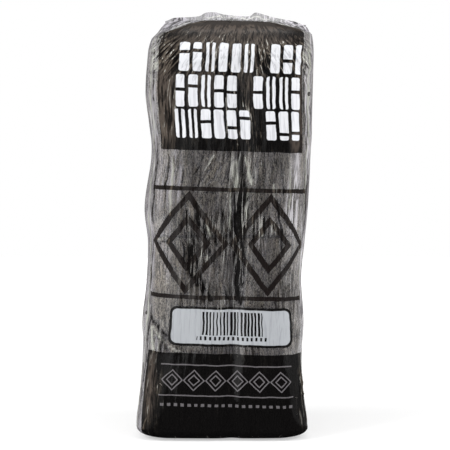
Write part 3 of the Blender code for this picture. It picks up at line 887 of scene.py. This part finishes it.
def buildFilmMaterial():
    look = filmLook
    material, tree = newMaterial("printed_film")
    web = addNode(tree, "UVMap", uv_map="flatWeb").outputs[0]
    x, y = splitXy(web)
    masks = {}
    for label in ("foldIn", "foldOut", "ribbed", "fanned", "shade", "sheen", "wornAndReflection"):
        masks[label] = addNode(tree, "Attribute", attribute_name=label).outputs["Fac"]
    ink, inkOpacity, isInk = printFields(web)
    dark, bright, glint, lines, height = filmFolds(web, masks)
    height = add(height, mul(noise(web, (190, 190, 190), 2.0), 0.08))
    relief = addNode(tree, "Bump", {"Height": height, "Strength": 1.0, "Distance": look["creaseHeight"]})
    normal = relief.outputs[0]
    rubbed = noise(web, (180, 14, 1), 4.0)
    crumpled = noise(web, (190, 62, 1), 3.0, distortion=1.6)

    # the film is gathered along the front's two corners, hazy there with a painted reflection of the side
    # lights on it, and clear again round the sides
    reach = absolute(sub(x, look["middle"]))
    wander = mulAdd(rubbed, look["wander"], -look["wander"] / 2)
    side = mul(ramp(reach, *look["corner"]), ramp(add(reach, wander), *look["cornerEnd"], 1.0, 0.1))
    sideLines = ramp(mulAdd(lines, 0.6, mul(rubbed, 0.4)), 0.40, 0.60)
    # over the back's shoulder it lies smoother than in front
    top = ramp(y, *look["top"])
    topFront = ramp(reach, *look["topFront"], 1.0, 0.0)
    topReach = mul(top, ramp(topFront, 0.0, 1.0, 0.45, 1.0))
    topLines = ramp(crumpled, 0.40, 0.60, 0.5, 1.0)

    # haze: thicker where the film is rubbed, gathered or stretched, and more veil where painted shade,
    # painted reflection, the folds' painted shade and highlights and painted glints lie
    # painted shade: the shade patches, and thin painted shade slivers over all the film
    shade = mul(masks["shade"], ramp(lines, 0.46, 0.60, 1.0, 0.3))
    shade = most(shade, ramp(lines, 0.40, 0.44, 0.24, 0.0))
    haze = add(mulAdd(ramp(rubbed, 0.45, 0.75), look["rubbedHaze"], look["haze"]),
               mul(side, look["sideHazeAndSheen"]), mul(topReach, topLines, look["topHaze"]))
    sheen = mul(masks["sheen"], ramp(lines, 0.38, 0.56, 0.45, 1.0))
    haze = most(haze, sheen, mul(dark, 0.93), mul(bright, 0.72), shade, glint)
    # the veil's colour: pale crests and darker troughs of the crinkled film, paler on the right, as painted
    # reflection and painted shade, then painted shade, the folds' painted shade and highlights, and painted
    # glints
    hazeHigh = mixColour(ramp(x, *look["across"]), look["leftHazeAndSheen"], look["rightHazeAndSheen"])
    hazeLow = mixColour(mul(top, topFront), look["hazeLow"], look["topLow"])
    hazeAndPaintedLightColour = mixColour(mixValue(top, sideLines, ramp(crumpled, 0.42, 0.58)), hazeLow, hazeHigh)
    hazeAndPaintedLightColour = mixColour(mul(shade, 2.0), hazeAndPaintedLightColour, look["shade"])
    hazeAndPaintedLightColour = mixColour(dark, hazeAndPaintedLightColour, look["dark"])
    hazeAndPaintedLightColour = mixColour(bright, hazeAndPaintedLightColour, mixColour(top, look["bright"], look["glint"]))
    hazeAndPaintedLightColour = mixColour(glint, hazeAndPaintedLightColour, look["glint"])

    # ink turns brown where it is worn and where a painted reflection lies on it, brown painted highlights
    # run along the bright folds, the dark folds get painted shade, and pale ink shows the folds as faint
    # painted shade lines
    wornAndReflection = mul(masks["wornAndReflection"], ramp(lines, 0.40, 0.50, 0.3, 1.0), ramp(crumpled, 0.36, 0.52, 0.35, 1.05))
    pale = ramp(addNode(tree, "RGBToBW", {0: ink}).outputs[0], 0.2, 0.4)
    # the brown over the top is a painted reflection of the light from above
    inkColour = mixColour(most(wornAndReflection, mul(top, 0.34)), ink, look["wornAndReflection"], "LIGHTEN")
    inkColour = mixColour(mul(bright, 0.8), inkColour, look["inkHighlight"], "LIGHTEN")
    inkColour = mixColour(mul(dark, mulAdd(pale, -0.4, 0.6)), inkColour, look["dark"])
    inkColour = mixColour(mul(glint, 0.8), inkColour, look["glint"], "LIGHTEN")
    inkColour = mixColour(ramp(lines, 0.38, 0.48, 0.4, 0.0), inkColour, look["paleLine"], "MULTIPLY")

    # air holes: a clear middle in a dark rim
    away = calc("MINIMUM", *[vectorCalc("DISTANCE", web, vent) for vent in look["vents"]])
    rim = ramp(away, *look["ventEdge"], 1.0, 0.0)
    colour = mixColour(rim, mixColour(isInk, hazeAndPaintedLightColour, inkColour), look["ventRim"])
    opacity = mul(most(haze, inkOpacity, mul(rim, 0.9)), ramp(away, *look["ventHole"]))

    # the gloss is a coat: a deep fold shades itself, and worn ink has lost some of its shine
    inkSide = mul(isInk, most(ramp(reach, *look["dullInk"]), top))
    coat = mul(sub(1.0, mul(dark, 0.85)), mulAdd(inkSide, -0.8, 1.0), look["coat"])
    body = addNode(tree, "BsdfPrincipled", {
        "Base Color": colour, "Roughness": mulAdd(rubbed, 0.08, look["gloss"]), "Normal": normal,
        "Alpha": opacity, "IOR": 1.5, "Specular IOR Level": 0.0, "Coat Weight": coat,
        "Coat Normal": normal, "Coat Roughness": 0.06})
    gloss = addNode(tree, "BsdfGlossy", {"Roughness": 0.04, "Normal": normal})
    edge = addNode(tree, "Fresnel", {"IOR": 1.5, "Normal": normal}).outputs[0]
    shine = mul(edge, 1.5, sub(1.0, opacity))
    final = addNode(tree, "MixShader", {0: shine, 1: body.outputs[0], 2: gloss.outputs[0]})
    addNode(tree, "OutputMaterial", {"Surface": final.outputs[0]})
    return material


film = buildFilm()
film.data.materials.clear()
film.data.materials.append(buildFilmMaterial())
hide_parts("film_sleeve")
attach(film, "root")
print("film material done")


# The pads of steel wool: the solid's form, finer, with matted fibre over it

padLook = {
    "voxel": 1.5 * mm,
    "matDepth": 0.45 * mm,
    "mostOut": 0.1 * mm,
    "spiralTurns": 3.2,
    "spiralFlat": 1.7,
    "strands": 520,
    "strandWidth": 0.11 * mm,
    "strandSteps": 6,
    "seed": 77,
    "wool": {
        "dark": rgb(28, 24, 21),
        "light": rgb(200, 192, 181),
        "warm": rgb(150, 134, 108),
        "metallic": 0.5,
        "roughness": 0.6,
        "contrast": 1.5,
        "relief": 1.4 * mm,
    },
    "loose": {
        "dark": rgb(74, 70, 67),
        "light": rgb(206, 202, 196),
        "warm": rgb(150, 138, 118),
        "metallic": 0.8,
        "roughness": 0.46,
        "contrast": 0.8,
        "relief": 0.4 * mm,
    },
}


def buildFibreGroup():
    # Streaks that run up the roll, with a finer tangle in them
    tree = bpy.data.node_groups.new("fibreStreaks", "ShaderNodeTree")
    for name, kind in (("Position", "NodeSocketVector"), ("Contrast", "NodeSocketFloat")):
        tree.interface.new_socket(name, in_out="INPUT", socket_type=kind)
    for name in ("Tone", "Height", "Warmth"):
        tree.interface.new_socket(name, in_out="OUTPUT", socket_type="NodeSocketFloat")
    entry = tree.nodes.new("NodeGroupInput").outputs
    leave = tree.nodes.new("NodeGroupOutput").inputs
    bent = noise(entry["Position"], (60, 60, 60), 2.0, colour=True)
    push = vectorCalc("SCALE", vectorCalc("SUBTRACT", bent, (0.5, 0.5, 0.5)), 3.5 * mm)
    place = vectorCalc("ADD", entry["Position"], push)
    coarse = noise(place, (330, 330, 60), 2.0, 0.62)
    medium = noise(place, (900, 900, 150), 2.0, 0.62)
    finest = noise(place, (1900, 1900, 700), 1.0, 0.62)
    cloud = noise(place, (60, 60, 30), 2.0, 0.62)
    height = add(mul(coarse, 0.16), mul(medium, 0.38), mul(finest, 0.46))
    spread = mul(sub(height, 0.5), entry["Contrast"], 5.0)
    feed(leave["Tone"], add(spread, 0.5, mul(sub(cloud, 0.5), 0.7)))
    feed(leave["Height"], height)
    feed(leave["Warmth"], cloud)
    return tree


fibreGroup = buildFibreGroup()


def buildWoolMaterial(name, look):
    material, tree = newMaterial(name)
    where = addNode(tree, "TexCoord").outputs["Object"]
    inputs = {"Position": where, "Contrast": look["contrast"]}
    fibre = addNode(tree, "Group", inputs, node_tree=fibreGroup).outputs
    tone = ramp(fibre["Tone"], 0.0, 1.0, smooth=False)
    warmth = ramp(fibre["Warmth"], 0.45, 0.65, 0.0, 0.35)
    colour = mixColour(warmth, mixColour(tone, look["dark"], look["light"]), look["warm"], "SOFT_LIGHT")
    relief = addNode(tree, "Bump", {"Height": fibre["Height"], "Strength": 0.9, "Distance": look["relief"]})
    body = addNode(tree, "BsdfPrincipled", {
        "Base Color": colour, "Roughness": mulAdd(tone, -0.2, look["roughness"]),
        "Metallic": mul(tone, look["metallic"]), "Normal": relief.outputs[0]})
    addNode(tree, "OutputMaterial", {"Surface": body.outputs[0]})
    return material


woolMaterial = buildWoolMaterial("steel_wool", padLook["wool"])
strandMaterial = buildWoolMaterial("steel_strands", padLook["loose"])


def buildPad(nodeName, index):
    source = frame["nodes"][nodeName]
    pad = source.copy()
    pad.data = source.data.copy()
    bpy.context.scene.collection.objects.link(pad)
    pad.name = "wool_" + nodeName
    pad.hide_render = False
    editAll(pad, mergeBelow=0.01 * mm, faceOut=False)
    remesh = pad.modifiers.new("remesh", "REMESH")
    remesh.mode = "VOXEL"
    remesh.voxel_size = padLook["voxel"]
    bpy.ops.object.modifier_apply(modifier=remesh.name)
    mesh = pad.data
    points = readPoints(mesh)
    normals = readNormals(mesh)
    low = points.min(axis=0)
    high = points.max(axis=0)
    seed = padLook["seed"] + index
    x, y, z = points.T
    rise = softNoise(x / (3.2 * mm) + y / (3.6 * mm), z / (11 * mm), seed)
    rise = rise + 0.7 * softNoise(x / (1.9 * mm) - y / (2.1 * mm), z / (6 * mm), seed + 200)
    # the roll's turns show as a soft spiral at its left and right ends
    away = points - (low + high) / 2
    turn = np.arctan2(away[:, 2], away[:, 1] * padLook["spiralFlat"])
    radius = np.hypot(away[:, 2] / (high[2] - low[2]), away[:, 1] / (high[1] - low[1])) * 2
    spiral = np.sin(2 * math.pi * radius * padLook["spiralTurns"] + turn)
    atEnd = softStep(0.8, 0.97, np.abs(normals[:, 0]))
    depth = 0.55 * rise * (1 - 0.6 * atEnd) + 0.9 * atEnd * (spiral - 0.6) - 0.35
    depth = np.minimum(depth * padLook["matDepth"], padLook["mostOut"])
    writePoints(mesh, np.clip(points + normals * depth[:, None], low, high))
    bpy.ops.object.shade_smooth()
    mesh.materials.clear()
    mesh.materials.append(woolMaterial)
    return pad, low, high


def addStrands(pad, low, high, index):
    # Loose fibres that lie on the pad, as narrow three-sided wires
    rng = np.random.default_rng(padLook["seed"] * 3 + index)
    points = readPoints(pad.data)
    normals = readNormals(pad.data)
    # only on the faces that can be seen, away from the pads above and below
    facing = np.abs(normals[:, 2]) < 0.35
    steps = padLook["strandSteps"]
    vertices = []
    faces = []
    for k in rng.choice(np.nonzero(facing)[0], padLook["strands"]):
        n = normals[k]
        up = np.array([0.0, 0.0, 1.0]) - n * n[2]
        up /= np.linalg.norm(up)
        lean = rng.normal(0, 0.42)
        along = up * math.cos(lean) + np.cross(n, up) * math.sin(lean)
        across = np.cross(n, along)
        length = rng.uniform(5, 16) * mm
        bend = rng.normal(0, 14)
        width = padLook["strandWidth"] * rng.uniform(0.6, 1.3)
        start = len(vertices)
        for i in range(steps + 1):
            t = (i / steps - 0.5) * length
            hump = 0.05 * mm + 0.12 * mm * math.sin(math.pi * i / steps)
            p = np.clip(points[k] + along * t + across * bend * t * t + n * hump, low, high)
            thin = width * (0.35 + 0.65 * math.sin(math.pi * (i + 0.5) / (steps + 1)))
            vertices += [p + across * thin, p - across * thin, p + n * thin * 1.2]
        end = start + 3 * steps
        for a in range(start, end, 3):
            faces += [(a + j, a + j + 3, a + m + 3, a + m) for j, m in ((0, 1), (1, 2), (2, 0))]
        faces += [(start, start + 1, start + 2), (end + 2, end + 1, end)]
    wires = bpy.data.meshes.new("strands_" + pad.name)
    wires.from_pydata([tuple(v) for v in vertices], [], faces)
    piece = bpy.data.objects.new("strands_" + pad.name, wires)
    bpy.context.scene.collection.objects.link(piece)
    wires.materials.append(strandMaterial)
    editAll(piece)
    return piece


padNodes = sorted(name for name in frame["nodes"] if name.startswith("pad_"))
for index, nodeName in enumerate(padNodes):
    pad, low, high = buildPad(nodeName, index)
    strands = addStrands(pad, low, high, index)
    for piece in (pad, strands):
        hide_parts(nodeName)
        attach(piece, "root")
print("pads", len(padNodes))


# The studio: pale floor, white surroundings, soft boxes and dark cards that only gloss sees

studio = {
    "white": (1.0, 1.0, 1.0, 1.0),
    "worldLevel": 0.36,
    "floorSize": 2.4,
    "floorTop": -0.0003,
    "floorTones": ((0.56, 0.56, 0.56, 1.0), (0.52, 0.52, 0.52, 1.0)),
    "floorGlow": (0.44, 0.8),
    # one card stands beside the camera, one lies before the pack, and two flags stand behind it to draw
    # dark lines along its sides
    "cards": {
        "standingCard": ("cardLevel", ((-0.134, -1.25, -0.1), (1.62, -1.25, -0.1),
                                       (1.62, -1.25, 1.2), (-0.134, -1.25, 1.2))),
        "lyingCard": ("cardLevel", ((-0.075, 0.01, -0.00015), (-0.134, -1.25, -0.00015),
                                    (1.62, -1.25, -0.00015), (0.09, 0.01, -0.00015))),
        "leftFlag": ("flagLevel", ((-0.8, 0.6, -0.1), (-0.085, 0.6, -0.1),
                                   (-0.085, 0.6, 0.7), (-0.8, 0.6, 0.7))),
        "rightFlag": ("flagLevel", ((0.085, 0.6, -0.1), (0.8, 0.6, -0.1),
                                    (0.8, 0.6, 0.7), (0.085, 0.6, 0.7))),
    },
    "cardLevel": 0.02,
    "flagLevel": 0.16,
    # soft boxes: place, size and power
    "boxes": {
        "left_box": ((-1.05, -0.45, 0.62), (0.7, 1.1), 20.0),
        "right_box": ((1.05, -0.45, 0.62), (0.7, 1.1), 16.5),
        "top_box": ((0.0, -0.3, 1.3), (1.0, 0.8), 3.5),
    },
    "boxAim": (0.0, 0.0, 0.15),
    "lens": 100.54,
    "sensor": 36,
    "distance": 0.905,
    "elevation": math.radians(4.5),
    "target": (0.0004, 0.0, 0.1493),
}


def seesBackground(tree):
    path = addNode(tree, "LightPath").outputs
    return most(path["Is Camera Ray"], path["Is Glossy Ray"], path["Is Transmission Ray"])


def aimAt(piece, direction):
    piece.rotation_euler = direction.to_track_quat("-Z", "Y").to_euler()


def buildWorld():
    world = bpy.context.scene.world or bpy.data.worlds.new("studio")
    bpy.context.scene.world = world
    world.use_nodes = True
    tree = world.node_tree
    tree.nodes.clear()
    shaders = {0: seesBackground(tree)}
    for key, level in ((1, studio["worldLevel"]), (2, 1.0)):
        shaders[key] = addNode(tree, "Background", {"Color": studio["white"], "Strength": level}).outputs[0]
    addNode(tree, "OutputWorld", {"Surface": addNode(tree, "MixShader", shaders).outputs[0]})


def buildFloor():
    deselectAll()
    bpy.ops.mesh.primitive_plane_add(size=studio["floorSize"], location=(0, 0, studio["floorTop"]))
    floor = bpy.context.object
    floor.name = "floor"
    material, tree = newMaterial("floor_paper")
    grain = addNode(tree, "TexNoise", {"Scale": 900.0, "Detail": 2.0}).outputs[0]
    paper = mixColour(mul(grain, 0.05), *studio["floorTones"])
    diffuse = addNode(tree, "BsdfDiffuse", {"Color": paper})
    away = vectorCalc("DISTANCE", addNode(tree, "TexCoord").outputs["Object"], (0, 0, 0))
    level = mul(seesBackground(tree), ramp(away, 0.06, 0.8, *studio["floorGlow"]))
    glow = addNode(tree, "Emission", {"Color": studio["white"], "Strength": level})
    both = addNode(tree, "AddShader", {0: diffuse.outputs[0], 1: glow.outputs[0]})
    addNode(tree, "OutputMaterial", {"Surface": both.outputs[0]})
    floor.data.materials.append(material)
    makeActive(floor)
    bpy.ops.object.transform_apply(location=True, rotation=True, scale=True)
    floor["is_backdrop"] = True


def buildCards():
    materials = {}
    for level in ("cardLevel", "flagLevel"):
        materials[level], tree = newMaterial(level)
        dark = addNode(tree, "Emission", {"Color": studio["white"], "Strength": studio[level]})
        addNode(tree, "OutputMaterial", {"Surface": dark.outputs[0]})
    for name, (level, corners) in studio["cards"].items():
        mesh = bpy.data.meshes.new(name)
        mesh.from_pydata(corners, [], [(0, 1, 2, 3)])
        mesh.materials.append(materials[level])
        card = bpy.data.objects.new(name, mesh)
        bpy.context.scene.collection.objects.link(card)
        card.visible_camera = False
        card.visible_diffuse = False
        card.visible_shadow = False
        card.visible_transmission = False
        card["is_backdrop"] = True


def buildLights():
    for name, (place, size, power) in studio["boxes"].items():
        light = bpy.data.lights.new(name, "AREA")
        light.shape = "RECTANGLE"
        light.size, light.size_y = size
        light.energy = power
        lamp = bpy.data.objects.new(name, light)
        bpy.context.scene.collection.objects.link(lamp)
        lamp.location = place
        lamp.visible_glossy = False
        aimAt(lamp, Vector(studio["boxAim"]) - Vector(place))


def buildCamera():
    camera = bpy.data.objects.new("camera", bpy.data.cameras.new("camera"))
    bpy.context.scene.collection.objects.link(camera)
    camera.data.lens = studio["lens"]
    camera.data.sensor_width = studio["sensor"]
    back = Vector((0, -math.cos(studio["elevation"]), math.sin(studio["elevation"])))
    camera.location = Vector(studio["target"]) + back * studio["distance"]
    aimAt(camera, -back)
    bpy.context.scene.camera = camera


buildWorld()
buildFloor()
buildCards()
buildLights()
buildCamera()
bpy.context.scene.view_settings.view_transform = "Standard"
print("studio done")

bpy.context.view_layer.update()
low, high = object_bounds()
{"cad": [list(cadBounds[0]), list(cadBounds[1])], "visual": [list(low), list(high)]}
